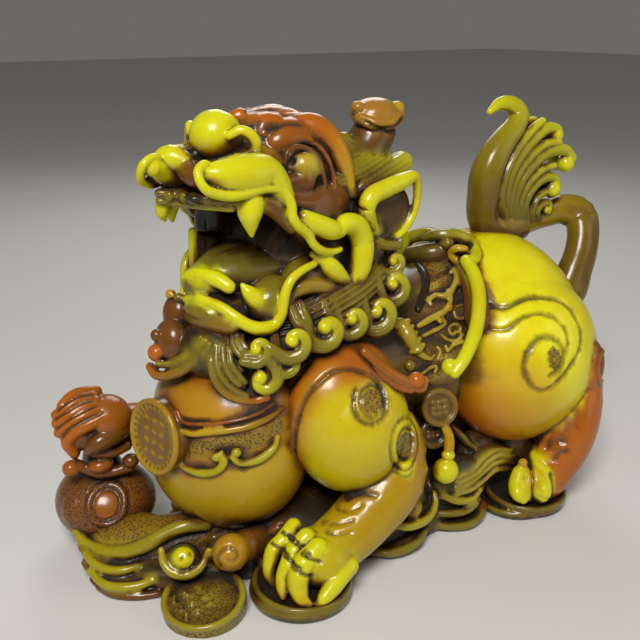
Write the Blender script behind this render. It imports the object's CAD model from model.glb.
"""A pixiu: a crouching guardian beast cast in waxy yellow resin, with dark dirt left in its carving."""
import math

import bpy
import numpy as np
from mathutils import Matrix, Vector
from mathutils.bvhtree import BVHTree
from mathutils.kdtree import KDTree


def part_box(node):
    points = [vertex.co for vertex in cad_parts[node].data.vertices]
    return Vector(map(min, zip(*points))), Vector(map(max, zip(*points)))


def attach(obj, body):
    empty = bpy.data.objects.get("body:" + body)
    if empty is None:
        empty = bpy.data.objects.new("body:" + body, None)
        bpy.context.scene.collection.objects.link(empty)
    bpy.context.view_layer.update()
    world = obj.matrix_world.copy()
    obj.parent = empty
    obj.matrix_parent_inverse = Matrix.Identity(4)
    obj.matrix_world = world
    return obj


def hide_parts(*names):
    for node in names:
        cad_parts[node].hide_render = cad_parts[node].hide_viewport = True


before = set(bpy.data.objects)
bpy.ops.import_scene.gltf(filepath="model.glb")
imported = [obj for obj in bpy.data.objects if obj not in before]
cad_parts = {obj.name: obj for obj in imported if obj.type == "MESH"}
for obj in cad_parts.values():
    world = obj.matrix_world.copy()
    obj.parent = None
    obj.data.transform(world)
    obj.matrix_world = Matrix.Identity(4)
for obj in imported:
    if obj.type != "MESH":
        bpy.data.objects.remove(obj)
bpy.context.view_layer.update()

# Studio: a pale floor, a soft lamp above the beast's left shoulder, a weak fill and a light from behind.
# The camera stands off the beast's left front. Places of the carving are in millimetres from the point
# under the breastbone, with the beast looking towards -X and its left side towards -Y.
millimetre = 0.001
carved_low = Vector((-82.49, -54.42, 0.0))
cad_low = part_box("pixiu")[0]
home = Vector((cad_low.x, cad_low.y, 0)) / millimetre - carved_low

camera_turn = math.radians(-34)
camera_rise = math.radians(19)
camera_reach = 279
aim = Vector((0, 0, 64.8))
backward = Vector((
    math.sin(camera_turn) * math.cos(camera_rise),
    -math.cos(camera_turn) * math.cos(camera_rise),
    math.sin(camera_rise),
))
bpy.ops.object.camera_add(location=(aim + home + backward * camera_reach) * millimetre)
camera = bpy.context.object
camera.rotation_euler = (-backward).to_track_quat("-Z", "Y").to_euler()
camera.data.lens = 50
camera.data.sensor_width = 36
camera.data.clip_start = 0.01
bpy.context.scene.camera = camera
bpy.context.scene.view_settings.view_transform = "Standard"


def lamp(name, place, width, power, tone):
    bpy.ops.object.light_add(type="AREA", location=Vector(place) * millimetre)
    light = bpy.context.object
    light.name = name
    light.rotation_euler = (Vector((0, 0, 60)) - Vector(place)).to_track_quat("-Z", "Y").to_euler()
    light.data.size = width * millimetre
    light.data.energy = power
    light.data.color = tone


lamp("softbox", (-330, -360, 560), 230, 4.9, (1, 0.98, 0.95))
lamp("fill", (420, -520, 260), 420, 0.5, (1, 0.97, 0.9))
lamp("back_light", (260, 420, 420), 300, 1.0, (1, 0.98, 0.95))

sky = bpy.data.worlds.new("studio")
sky.use_nodes = True
sky.node_tree.nodes["Background"].inputs["Color"].default_value = (0.92, 0.90, 0.86, 1)
sky.node_tree.nodes["Background"].inputs["Strength"].default_value = 0.16
bpy.context.scene.world = sky

bpy.ops.mesh.primitive_plane_add(size=6)
floor = bpy.context.object
floor.name = "floor"
floor_paint = bpy.data.materials.new("pale floor")
floor_paint.use_nodes = True
paint = floor_paint.node_tree.nodes["Principled BSDF"]
paint.inputs["Base Color"].default_value = (0.62, 0.61, 0.59, 1)
paint.inputs["Roughness"].default_value = 0.7
floor.data.materials.append(floor_paint)

# Rump, back, neck and hind legs: the heaviest mass of the resin casting, with a spiral groove on each thigh.
# The resin is poured in bands of lemon, gold and amber, so each carved form has its own tint. A fourth value
# in a tint says that its ground is stippled.
lemon = (0.58, 0.57, 0.006)
gold = (0.43, 0.28, 0.006)
amber = (0.40, 0.11, 0.005)
umber = (0.14, 0.052, 0.008)
olive = (0.18, 0.145, 0.010)
soot = (0.022, 0.016, 0.009)
stippled_umber = (0.19, 0.066, 0.010, 1)
stippled_olive = (0.21, 0.155, 0.016, 1)
stippled_gold = (0.26, 0.165, 0.012, 1)
burnt = (0.28, 0.088, 0.007)
deep_amber = (0.46, 0.10, 0.004)
bright_lemon = (0.74, 0.69, 0.007)
bark = (0.085, 0.062, 0.012)
pale_gold = (0.44, 0.24, 0.006)
stippled_cloth = (0.46, 0.37, 0.05, 1)


def full(tint):
    return np.array([*tint[:3], tint[3] if len(tint) > 3 else 0.0])


def tinted(form, tint, other=None, way=(0, 0, -1)):
    """Gives a carved form its resin tint, which turns to the other one along a way, if there is one."""
    count = len(form.data.vertices)
    spots = np.empty(count * 3)
    form.data.vertices.foreach_get("co", spots)
    reach = spots.reshape(-1, 3) @ np.array(Vector(way).normalized())
    share = np.clip((reach - reach.mean()) / max(np.ptp(reach) / 2, 1e-6), 0, 1)[:, None]
    layer = form.data.attributes.new("tint", "FLOAT_COLOR", "POINT")
    layer.data.foreach_set("color", (full(tint) * (1 - share) + full(other or tint) * share).ravel())
    return form


def swell(at, size, tint, turn=(0, 0, 0), other=None, way=(0, 0, -1)):
    """An egg-shaped mass of three half-widths, turned in degrees."""
    around = int(min(max(max(size) * 5, 24), 128))
    bpy.ops.mesh.primitive_uv_sphere_add(segments=around, ring_count=around // 2 + 2)
    egg = bpy.context.object
    tinted(egg, tint, other, way)
    egg.scale = size
    egg.rotation_euler = [math.radians(angle) for angle in turn]
    egg.location = at
    return egg


def bead(at, radius, tint):
    return swell(at, (radius, radius, radius), tint)


def smooth_line(stops, count):
    """Places and headings along one smooth line through the stops."""
    stops = np.array(stops, float)
    gaps = np.sqrt(np.linalg.norm(np.diff(stops[:, :3], axis=0), axis=1))[:, None]
    slopes = np.diff(stops, axis=0) / gaps
    lean = np.vstack([slopes[:1], slopes[-1:]])
    if len(stops) > 2:
        inner = (slopes[:-1] * gaps[1:] + slopes[1:] * gaps[:-1]) / (gaps[1:] + gaps[:-1])
        lean = np.vstack([slopes[:1], inner, slopes[-1:]])
    knots = np.concatenate([[0], np.cumsum(gaps[:, 0])])
    steps = np.linspace(0, knots[-1], count)
    leg = np.clip(np.searchsorted(knots, steps, side="right") - 1, 0, len(gaps) - 1)
    gap = gaps[leg]
    s = (steps[:, None] - knots[leg][:, None]) / gap
    start, end, leave, arrive = stops[leg], stops[leg + 1], lean[leg] * gap, lean[leg + 1] * gap
    places = start * (2 * s**3 - 3 * s**2 + 1) + leave * (s**3 - 2 * s**2 + s)
    places += end * (3 * s**2 - 2 * s**3) + arrive * (s**3 - s**2)
    heading = (start - end) * (6 * s**2 - 6 * s) + leave * (3 * s**2 - 4 * s + 1)
    heading = (heading + arrive * (3 * s**2 - 2 * s))[:, :3]
    return places, heading / np.maximum(np.linalg.norm(heading, axis=1), 1e-9)[:, None]


def roll(stops, tint, flat=1.0, facing=(0, -0.05, 1), strands=0, relief=0.22, tip=None):
    """A round-ended roll through stops of x, y, z and radius, combed into strands that fade at its tip."""
    span = sum(math.dist(a[:3], b[:3]) for a, b in zip(stops, stops[1:]))
    girth = sum(stop[3] for stop in stops) / len(stops)
    count = int(min(max(span / max(girth * 0.3, 0.5), 6), 90))
    places, heading = smooth_line(stops, count)
    radius = np.maximum(places[:, 3], 0.3)
    side = np.cross(heading, facing)
    side /= np.maximum(np.linalg.norm(side, axis=1), 1e-9)[:, None]
    out = np.cross(side, heading)
    middle = places[:, :3]
    bend = np.radians([62, 30])
    first = [middle[0] - heading[0] * radius[0] * math.sin(a) for a in bend]
    last = [middle[-1] + heading[-1] * radius[-1] * math.sin(a) for a in bend[::-1]]
    middle = np.vstack([first, middle, last])
    girths = np.concatenate([radius[0] * np.cos(bend), radius, radius[-1] * np.cos(bend[::-1])])
    side = np.vstack([side[:1], side[:1], side, side[-1:], side[-1:]])
    out = np.vstack([out[:1], out[:1], out, out[-1:], out[-1:]])
    ends = np.vstack([places[0, :3] - heading[0] * radius[0], places[-1, :3] + heading[-1] * radius[-1]])
    count = len(middle)
    share = np.linspace(-0.3, 1.0, count).clip(0, 1) ** 1.5
    sides = max(20, strands * 8, int(girth * 6))
    turn = np.linspace(0, 2 * np.pi, sides, endpoint=False)
    comb = np.ones((count, sides))
    if strands:
        comb += relief * (1 - 0.75 * share)[:, None] * (np.abs(np.cos(strands * turn / 2)) - 0.6)
    across = (girths[:, None] * np.cos(turn) * comb)[:, :, None]
    above = (girths[:, None] * np.sin(turn) * comb * flat)[:, :, None]
    rings = middle[:, None] + side[:, None] * across + out[:, None] * above
    spots = np.vstack([rings.reshape(-1, 3), ends])
    ahead = (np.arange(sides) + 1) % sides
    faces = []
    for ring in range(count - 1):
        base = ring * sides
        faces += [(base + a, base + b, base + sides + b, base + sides + a) for a, b in enumerate(ahead)]
    head, foot = len(spots) - 2, (count - 1) * sides
    faces += [(head, b, a) for a, b in enumerate(ahead)]
    faces += [(len(spots) - 1, foot + a, foot + b) for a, b in enumerate(ahead)]
    mesh = bpy.data.meshes.new("roll")
    mesh.from_pydata(spots.tolist(), [], faces)
    form = bpy.data.objects.new("roll", mesh)
    bpy.context.collection.objects.link(form)
    mix = full(tint) * (1 - share[:, None]) + full(tip or tint) * share[:, None]
    mix = np.vstack([np.repeat(mix, sides, axis=0), mix[:1], mix[-1:]])
    layer = mesh.attributes.new("tint", "FLOAT_COLOR", "POINT")
    layer.data.foreach_set("color", mix.ravel())
    return form


def read_spots(mesh):
    spots = np.empty(len(mesh.vertices) * 3)
    mesh.vertices.foreach_get("co", spots)
    return spots.reshape(-1, 3)


def read_normals(mesh):
    normals = np.empty(len(mesh.vertices) * 3, np.float32)
    mesh.vertex_normals.foreach_get("vector", normals)
    return normals.reshape(-1, 3)


def put_spots(mesh, spots):
    mesh.vertices.foreach_set("co", np.asarray(spots, np.float32).ravel())
    mesh.update()


def read_edges(mesh):
    edges = np.empty(len(mesh.edges) * 2, np.int32)
    mesh.edges.foreach_get("vertices", edges)
    return edges.reshape(-1, 2)


def read_mark(piece, name):
    """One value at each vertex: dirt, stipple or shelter. It is nought where nothing was marked yet."""
    layer = piece.data.attributes.get(name)
    values = np.zeros(len(piece.data.vertices), np.float32)
    if layer:
        layer.data.foreach_get("value", values)
    return values


def put_mark(piece, name, values):
    layer = piece.data.attributes.get(name) or piece.data.attributes.new(name, "FLOAT", "POINT")
    layer.data.foreach_set("value", np.asarray(values, np.float32))


def evened(values, edges, rounds):
    """Values at the vertices, spread to their neighbours so many times."""
    count = len(values)
    a, b = edges.T
    valence = np.maximum(np.bincount(a, minlength=count) + np.bincount(b, minlength=count), 1)[:, None]
    for _ in range(rounds):
        total = np.stack([
            np.bincount(a, column[b], count) + np.bincount(b, column[a], count) for column in values.T
        ], axis=1)
        values = 0.4 * values + 0.6 * total / valence
    return values


def fuse(name, forms, grain, most_triangles, softening=3):
    """Runs the forms of one carving together, as resin does in its mould, and spreads their tints over it."""
    coarse = 1.0
    bpy.ops.object.select_all(action="DESELECT")
    for form in forms:
        form.select_set(True)
    bpy.context.view_layer.objects.active = forms[0]
    bpy.ops.object.transform_apply(location=True, rotation=True, scale=True)
    bpy.ops.object.join()
    piece = bpy.context.object
    piece.name = piece.data.name = name
    forms_at = read_spots(piece.data)
    colours = np.empty(len(forms_at) * 4)
    piece.data.attributes["tint"].data.foreach_get("color", colours)
    colours = colours.reshape(-1, 4)
    join = piece.modifiers.new("run together", "REMESH")
    join.mode = "VOXEL"
    join.voxel_size = grain * coarse
    bpy.ops.object.modifier_apply(modifier=join.name)
    soften = piece.modifiers.new("soften", "SMOOTH")
    soften.factor = 0.5
    soften.iterations = softening
    bpy.ops.object.modifier_apply(modifier=soften.name)
    triangles = 2 * len(piece.data.polygons)
    if triangles > most_triangles:
        thin = piece.modifiers.new("thin", "DECIMATE")
        thin.ratio = most_triangles / triangles
        bpy.ops.object.modifier_apply(modifier=thin.name)
    tree = KDTree(len(forms_at))
    for i, spot in enumerate(forms_at):
        tree.insert(spot, i)
    tree.balance()
    nearest = [tree.find(vertex.co)[1] for vertex in piece.data.vertices]
    tints = evened(colours[nearest], read_edges(piece.data), 5)
    layer = piece.data.attributes.get("tint") or piece.data.attributes.new("tint", "FLOAT_COLOR", "POINT")
    layer.data.foreach_set("color", tints.ravel())
    put_mark(piece, "stipple", tints[:, 3])
    bpy.ops.object.shade_smooth()
    return piece


def engrave(piece, line, width, depth=0.0, looking=None, dirt=0.0, tint=None, sharp=2):
    """Cuts a line into the surface, or raises it where the depth is negative, and may dirty or tint it."""
    mesh = piece.data
    spots = read_spots(mesh)
    normals = read_normals(mesh)
    path = smooth_line([[*stop[:3], 0.0] for stop in line], 10 * len(line))[0][:, :3]
    flat = spots
    if looking is not None:
        view = np.array(Vector(looking).normalized())
        flat = spots - np.outer(spots @ view, view)
        path = path - np.outer(path @ view, view)
    low, high = path.min(0) - 3 * width, path.max(0) + 3 * width
    inside = np.all((flat >= low) & (flat <= high), axis=1)
    if looking is not None:
        inside &= (normals @ view) > 0.15
    near = np.nonzero(inside)[0]
    if not len(near):
        return
    points = flat[near]
    gap = np.full(len(near), np.inf)
    for a, b in zip(path, path[1:]):
        leg = b - a
        share = np.clip((points - a) @ leg / max(leg @ leg, 1e-9), 0, 1)[:, None]
        gap = np.minimum(gap, np.linalg.norm(points - a - share * leg, axis=1))
    cut = np.exp(-((gap / width) ** sharp))
    if depth:
        spots[near] -= normals[near] * (depth * cut)[:, None]
        put_spots(mesh, spots)
    if dirt:
        stain = read_mark(piece, "dirt")
        stain[near] = np.maximum(stain[near], dirt * cut)
        put_mark(piece, "dirt", stain)
    if tint:
        colours = np.empty(len(spots) * 4)
        mesh.attributes["tint"].data.foreach_get("color", colours)
        colours = colours.reshape(-1, 4)
        colours[near] += (full(tint) - colours[near]) * cut[:, None]
        mesh.attributes["tint"].data.foreach_set("color", colours.ravel())
        put_mark(piece, "stipple", colours[:, 3])


def sunk(stops, share=0.7):
    """The same stops, set back from the camera by a share of each radius, so that they sit in the surface."""
    return [[*(Vector(stop[:3]) - backward * stop[3] * share), stop[3]] for stop in stops]


left_front = aim + backward * camera_reach
right_side = Vector((20, 300, 120))


def laid(stops, piece, rise=0.3, eye=left_front):
    """The same stops as seen from one place, but lying on a piece, raised by a share of each radius."""
    placed = []
    for x, y, z, radius in stops:
        hit, spot, normal, _ = piece.ray_cast(eye, (Vector((x, y, z)) - eye).normalized())
        placed.append([*(spot + normal * radius * rise), radius] if hit else [x, y, z, radius])
    return placed


def across(left, side, girth=0.0):
    """The same place on the beast's left (side 1) or right (side -1), where the casting is narrower."""
    return left if side == 1 else min(-6 - left, 44.4 - girth)


def flanks(stops, side):
    """Stops of a left limb as they are, or turned over to the right."""
    return [[x, across(y, side, r), z, r] for x, y, z, r in stops]


body_forms = [
    swell((60, -5, 50), (33, 39, 36), pale_gold, other=bright_lemon, way=(0.1, -0.3, 1)),
    swell((63, -6, 51), (32, 38, 35.5), pale_gold, other=bright_lemon, way=(0.1, -0.3, 1)),
    swell((61, -26, 48), (29, 24, 29), bright_lemon, other=deep_amber, way=(-0.9, 0, -0.8)),
    swell((61, 20, 48), (29, 23, 29), bright_lemon, other=deep_amber, way=(-0.9, 0, -0.8)),
    roll([
        [-16, -3, 48, 24.5], [15, -4, 49, 24.6], [22, -4, 49.8, 25.1], [33, -4, 50.9, 26.8],
        [44, -4, 52, 28],
    ], bark),
    swell((-36, -5, 36), (24, 26, 27), (0.43, 0.29, 0.006), other=(0.32, 0.10, 0.005), way=(0.2, 0.2, -1)),
    swell((-35.5, -7, 48), (22.6, 24, 19), (0.40, 0.21, 0.008), other=burnt, way=(0.5, 0.2, 1)),
    roll([[-24, -3, 54, 22], [-14, -3, 74, 20], [-5, -3, 92, 17]], soot),
]
hind_leg = [[74, -34, 44, 12], [76, -38, 37, 10.5], [70, -42, 23, 10], [62, -42, 10, 8]]
hind_foot = [[62, -42, 9, 7.5], [56, -43, 10, 7], [51, -43, 9, 5]]
outer_toe = [
    [58, -41.5, 18, 2.4], [56.5, -45.5, 15.5, 3.4], [55, -48.5, 12, 3.3], [53.5, -50, 9, 2.5],
    [53.5, -49, 7, 1.7],
]
inner_toe = [[50, -42.5, 14.5, 2.6], [47.5, -44, 11.5, 2.8], [46, -46, 9.5, 2.3], [47.5, -47, 7.5, 1.4]]
toe_knuckle = [[51.5, -42, 17.5, 1.7], [52, -41.5, 17, 1.6]]
for side in (1, -1):
    body_forms += [
        roll(flanks(hind_leg, side), amber),
        roll(flanks(hind_foot, side), amber, tip=lemon),
        roll(flanks(sunk(outer_toe), side), lemon),
        roll(flanks(sunk(inner_toe), side), lemon),
        roll(flanks(sunk(toe_knuckle), side), gold),
        swell((75.4, across(-43.4, side, 5.5), 46.6), (6.8, 5.5, 10), amber, other=umber, way=(0, 0, 1)),
        bead((80.6, across(-44.6, side), 36.4), 2.4, amber),
    ]
body = fuse("body", body_forms, grain=0.44, most_triangles=175_000)
thigh_outer_groove = [
    (36, 70.5), (45, 70), (49, 71.5), (53.5, 72.5), (59, 72), (64, 70), (66.5, 66.5), (67.5, 62), (65, 56),
    (60, 52), (56, 48.5), (53, 46.5), (49, 46), (46, 49), (44.5, 54), (45.5, 57.5), (48, 60.5), (51, 62),
    (54, 62), (56.5, 60), (58, 57), (57, 54), (55, 51.5), (52.5, 50.5),
]
thigh_inner_groove = [
    (31, 65.5), (42, 64.5), (45.5, 66.5), (49, 68), (53.5, 68.5), (57.5, 67), (60, 64), (60.5, 60.5),
    (59.5, 57.5),
]
for side in (1, -1):
    looking = (0, -side, 0)
    engrave(body, [(x, 0, z) for x, z in thigh_outer_groove], 0.5, 0.9, looking, dirt=0.7)
    engrave(body, [(x, 0, z) for x, z in thigh_outer_groove], 2, 0, looking, dirt=0.22)
    engrave(body, [(x, 0, z) for x, z in thigh_inner_groove], 0.45, 0.7, looking, dirt=0.6)
    engrave(body, [(x, 0, z) for x, z in thigh_inner_groove], 1.6, 0, looking, dirt=0.18)
    engrave(body, [(59, 0, 22), (60.5, 0, 24.5), (62.5, 0, 25)], 0.8, 0.7, looking, dirt=0.4)
    engrave(body, [(59.5, 0, 19), (61, 0, 21.5), (63, 0, 22)], 0.8, 0.7, looking, dirt=0.4)
    engrave(body, [(30, 0, 70), (31, 0, 60), (33, 0, 50)], 4, 0, looking, dirt=0.5)
# hock dirt, partings of the hind toes, and the saddle cloth's stippled ground, flush with the back
engrave(body, [(72, -42, 31), (65, -42, 23)], 4.5, 0, backward, dirt=0.3)
toe_parting = [(54, -42, 18), (52.6, -44.6, 14.4), (50.8, -47, 11), (50.4, -48.6, 7)]
engrave(body, toe_parting, 0.45, 0.9, backward, dirt=0.85)
engrave(body, [(59.5, -45, 13.5), (58.6, -48, 10.5), (57.6, -49.6, 7)], 0.45, 0.7, backward, dirt=0.6)
engrave(body, [(36, 0, 78), (29, 0, 66), (24, 0, 56)], 8, tint=stippled_cloth, looking=(0, 1, 0), sharp=5)
cloth_ground = [(39, -10, 79), (34, -20, 71), (28, -26, 63), (21, -28, 56)]
engrave(body, cloth_ground, 7.5, tint=stippled_cloth, looking=backward, sharp=5)


def button(piece, at, wide, high, tint, looking=backward, rim=0.0, groove=0.6):
    """A stippled oval disc inside a groove, cut as seen from one way. It may have a raised rim round it."""
    facing = Vector(looking).normalized()
    right = Vector((0, 0, 1)).cross(facing).normalized()
    up = facing.cross(right)
    turns = [math.radians(30 * k) for k in range(13)]

    def ring(share):
        return [Vector(at) + (right * math.cos(a) * wide + up * math.sin(a) * high) * share for a in turns]

    engrave(piece, ring(0.4), 0.45 * min(wide, high), tint=tint, looking=looking, sharp=8)
    engrave(piece, ring(0.6), 0.3 * min(wide, high), tint=tint, looking=looking, sharp=8)
    engrave(piece, ring(1.0), 0.42, groove, looking, dirt=1.4 * groove)
    if rim:
        engrave(piece, ring(1.32), 0.8, -rim, looking)
        engrave(piece, ring(1.66), 0.4, 0.4, looking, dirt=0.6)


for side in (1, -1):
    button(body, (54.2, across(-46.4, side), 55.6), 2.8, 4.4, stippled_gold, (0, -side, 0), groove=0.2)
    heel_side = (backward.x, side * backward.y, backward.z)
    button(body, (79, across(-48.6, side), 47.4), 2.3, 4, stippled_umber, heel_side, rim=0.5)
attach(body, "root")

# Forelegs: the left one stands on a coin with its toes spread, and the right one reaches forward and holds
# a money bag by its neck. The shoulder is a ball of pale gold under a brown fold round a small disc.
leg_gold = (0.44, 0.36, 0.006)
fore_forms = [
    swell((-11, -25.4, 47.6), (20.2, 17, 21.2), burnt, other=amber, way=(-0.6, -0.4, 0.6)),
    swell((-9.6, -29.7, 43), (17.7, 16.7, 19.8), lemon, other=gold, way=(0.5, 0, -1)),
    roll([
        [1, -32, 36, 12], [1, -36, 27, 11], [-12, -39, 17, 9], [-26, -40, 11, 8],
    ], (0.38, 0.22, 0.006), tip=leg_gold),
    swell((-27, -40, 11), (10, 10, 8), leg_gold),
    swell((-0.6, -41.4, 40.5), (3.4, 2.6, 6.2), gold),
    swell((-1.4, -45, 33.2), (2.3, 2.3, 2.4), lemon),
    swell((-12.6, 20, 48), (19.2, 15, 21.6), burnt, other=amber, way=(0, 1, 1)),
    swell((-12, 24, 45), (17, 14.4, 19), lemon, other=gold, way=(0.5, 0, -1)),
    roll([[-22, 25, 38, 11], [-42, 25, 32, 7.4], [-60, 20, 36.5, 6.6]], amber, tip=burnt),
]
# toes of the standing paw: each is two knuckles and a long nail
toes = [
    [
        [-32, -34, 19, 2.1], [-36, -35.5, 17, 2.2], [-39.5, -35.5, 14.5, 2.2], [-41, -36, 11, 2],
        [-41.5, -36.5, 8, 1.6], [-41, -37.5, 5.5, 0.9],
    ],
    [
        [-31.5, -40, 18.5, 2.3], [-35.5, -40, 15.5, 2.4], [-38.5, -41.5, 13, 2.2], [-40, -41.5, 10, 2],
        [-41.5, -43, 7.5, 1.5], [-42, -44.5, 6, 0.9],
    ],
    [
        [-31, -45, 17.5, 2.5], [-36, -45.5, 14.5, 2.7], [-38, -46, 11.5, 2.7], [-38.5, -46.5, 8.5, 2.6],
        [-38.5, -48.5, 6, 2], [-37.5, -50, 5, 1.2],
    ],
]
for toe in toes:
    set_in = sunk(toe, 0.55)
    fore_forms.append(roll([[x, y, z, 1.12 * r] for x, y, z, r in set_in], lemon, tip=gold))
    for k, bulge in ((0, 1.12), (1, 1.14), (3, 1.12)):
        x, y, z, r = set_in[k]
        fore_forms.append(bead((x, y, z), r * bulge, lemon))
thumb = [
    [-23, -49, 11, 2.6], [-27, -50, 9.5, 2.7], [-31, -51, 7.5, 2.6], [-34, -51.5, 6, 1.8], [-35, -51, 5, 1],
]
last_toe = [
    [-33, -29, 17, 1.8], [-36, -28, 14.5, 2], [-37.5, -26.5, 11, 2.1], [-39, -27.5, 8.5, 1.9],
    [-39, -28.5, 6, 1.4],
]
fore_forms += [roll(sunk(thumb, 0.5), lemon), roll(sunk(last_toe, 0.5), burnt)]
# the fist: five fingers folded over the bag's neck, and the thumb under them
fingers = [
    [[-78, 18, 48.5, 1.5], [-74.5, 19, 50.3, 1.6], [-71.5, 19, 50.8, 1.6], [-67, 19, 50, 1.7]],
    [[-80, 18, 46, 1.5], [-77.3, 16.5, 48, 1.6], [-74, 16.5, 49.6, 1.7], [-69, 16.5, 49.6, 1.7]],
    [[-80.4, 17, 43.8, 1.5], [-77.5, 15, 46.3, 1.6], [-73.5, 14.5, 48, 1.7], [-69, 14.5, 48.8, 1.7]],
    [[-80.2, 16, 41.2, 1.6], [-77.7, 13.5, 44.2, 1.8], [-73.8, 12.5, 46.2, 1.8], [-68.5, 12.5, 47.2, 1.8]],
    [
        [-76.6, 15, 34, 1.7], [-78.4, 14.5, 38.6, 2.1], [-76.4, 13, 41.8, 2.2], [-72.4, 11.5, 43.8, 2.2],
        [-68, 11, 45.4, 2.2],
    ],
]
fore_forms += [roll(finger, amber, tip=burnt) for finger in fingers]
fore_forms += [
    swell((-66, 15, 43), (7.4, 7.4, 6.6), burnt),
    roll([[-63, 12, 39.6, 3], [-67.5, 10, 39, 3.1], [-71.5, 9.5, 38, 2.6], [-73.6, 11, 35.6, 1.6]], umber),
    swell((-73, 16, 40), (5.5, 5, 6), umber),
]
# the money bag: a stippled sack tied at the neck, with a ring in low relief
fore_forms += [
    swell((-67, 19, 14), (15.2, 15.6, 12), stippled_umber),
    swell((-76.1, 15, 15.6), (6, 5.4, 6.4), stippled_umber),
    roll([[-67, 20, 22, 7], [-68, 18, 31, 5]], umber),
    swell((-70.2, 11.4, 30), (3.7, 3, 2.3), burnt),
    swell((-78, 15, 29.4), (2.7, 2.6, 2.5), burnt),
    swell((-61.8, 9.2, 29.8), (2.6, 2.4, 2.1), umber),
    roll([[-76, 15, 30, 1.8], [-70, 11.8, 26.8, 1.6], [-62, 9.6, 27.6, 1.6]], umber),
    roll([[-72, 11, 34.4, 1.4], [-67, 10, 33.6, 1.5], [-62, 10.6, 34, 1.4]], umber),
]
forelegs = fuse("forelegs", fore_forms, grain=0.42, most_triangles=160_000, softening=2)
ball_groove = [
    (-23, -24, 26.5), (-27, -27.5, 34.5), (-28.2, -29, 41), (-28, -29.5, 46.5), (-26.5, -29.5, 51.5),
    (-24.5, -30, 56), (-21.5, -31, 59.5), (-19, -34, 63), (-16, -36.5, 64), (-11.5, -37, 62.5),
    (-7.5, -38, 60), (-6, -40.5, 57), (-7.5, -44, 54.5), (-9.7, -46.4, 52.4), (-12.2, -46, 50.5),
    (-15.8, -45.3, 51), (-17.9, -44, 53.5), (-17, -41.5, 56.5), (-14.6, -39.2, 58.6),
]
toward = tuple(backward)
engrave(forelegs, ball_groove, 0.5, 0.9, toward, dirt=0.75)
engrave(forelegs, ball_groove, 2.0, 0, toward, dirt=0.26)
ball_front = [(-14, -34, 43.6), (-12, -40, 45.4)]
engrave(forelegs, ball_front, 14.6, tint=(0.56, 0.47, 0.006), looking=toward, sharp=8)
engrave(forelegs, ball_groove[:8], 3, 0, tint=(0.42, 0.20, 0.006), looking=toward)
button(forelegs, (-11.8, -43, 56), 3.4, 4.2, stippled_gold)
far_turns = [math.radians(angle) for angle in range(-70, 230, 30)]
far_groove = [(-12 + 16 * math.cos(turn), 0, 46 + 17 * math.sin(turn)) for turn in far_turns]
engrave(forelegs, far_groove, 0.5, 0.8, (0, 1, 0), dirt=0.7)
button(forelegs, (-14, 38, 52), 3.6, 4.4, stippled_gold, (0, 1, 0))
button(forelegs, (-0.8, -44, 40.4), 2.7, 4.6, stippled_olive, rim=0.7)
button(forelegs, (-71.6, 6, 19.4), 3.9, 4.3, burnt, rim=0.9)
fold_edge = [
    (-32.2, -29.5, 37.6), (-32.4, -28.6, 44), (-29.6, -25, 50), (-27, -24, 56), (-22.6, -23.4, 60),
    (-21.2, -27, 65),
]
engrave(forelegs, fold_edge, 0.7, 0.8, toward, dirt=0.8)
for wrinkle in (
    [(-16.5, -38, 24.8), (-12.8, -40, 26.6), (-9, -42, 26)],
    [(-19.6, -37.8, 22.5), (-17.2, -41, 23), (-14.5, -42.3, 24.4)],
    [(-22.9, -35.8, 19.3), (-21.4, -41.6, 20.6), (-18.3, -43.2, 21.4)],
    [(-25.3, -40.7, 19.2), (-23.7, -43.6, 18.9), (-20.4, -45.5, 19.1)],
):
    engrave(forelegs, wrinkle, 0.7, 0.45, toward, dirt=0.25)
for upper, lower in zip(fingers, fingers[1:]):
    parting = [(Vector(a[:3]) + Vector(b[:3])) / 2 for a, b in zip(upper, lower[-4:])]
    engrave(forelegs, parting, 0.45, 0.5, toward, dirt=0.75)
half_crease = Vector((1.6, -2.4, -1))
for toe in toes:
    for k in (0, 1):
        crease = (Vector(toe[k][:3]) + Vector(toe[k + 1][:3])) / 2
        engrave(forelegs, [crease - half_crease, crease + half_crease], 0.5, 0.5, toward, dirt=0.8)
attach(forelegs, "root")

# Head: turned to the beast's left, mouth wide open, with rolled lips, fangs, a ball of a nose and heavy
# brows. Its places are steps forward, to its own left and up, from the point under the middle of the skull.
head_yaw = math.radians(19)
head_middle = Vector((-10.6, 0.8, 0))


def in_head(place):
    forward, left, up, *rest = place
    return [
        head_middle.x - forward * math.cos(head_yaw) + left * math.sin(head_yaw),
        head_middle.y - forward * math.sin(head_yaw) - left * math.cos(head_yaw),
        up,
        *rest,
    ]


def head_roll(stops, tint, **look):
    return roll([in_head(stop) for stop in stops], tint, **look)


def head_swell(at, size, tint, turn=(0, 0, 19), **look):
    return swell(in_head(at), size, tint, turn, **look)


def both(stops, tint, **look):
    """A roll on each side of the head, from the stops of the left one."""
    other_side = [[forward, -left, up, radius] for forward, left, up, radius in stops]
    return [head_roll(stops, tint, **look), head_roll(other_side, tint, **look)]


def both_swell(at, size, tint, **look):
    forward, left, up = at
    return [head_swell(at, size, tint, **look), head_swell((forward, -left, up), size, tint, **look)]


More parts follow.
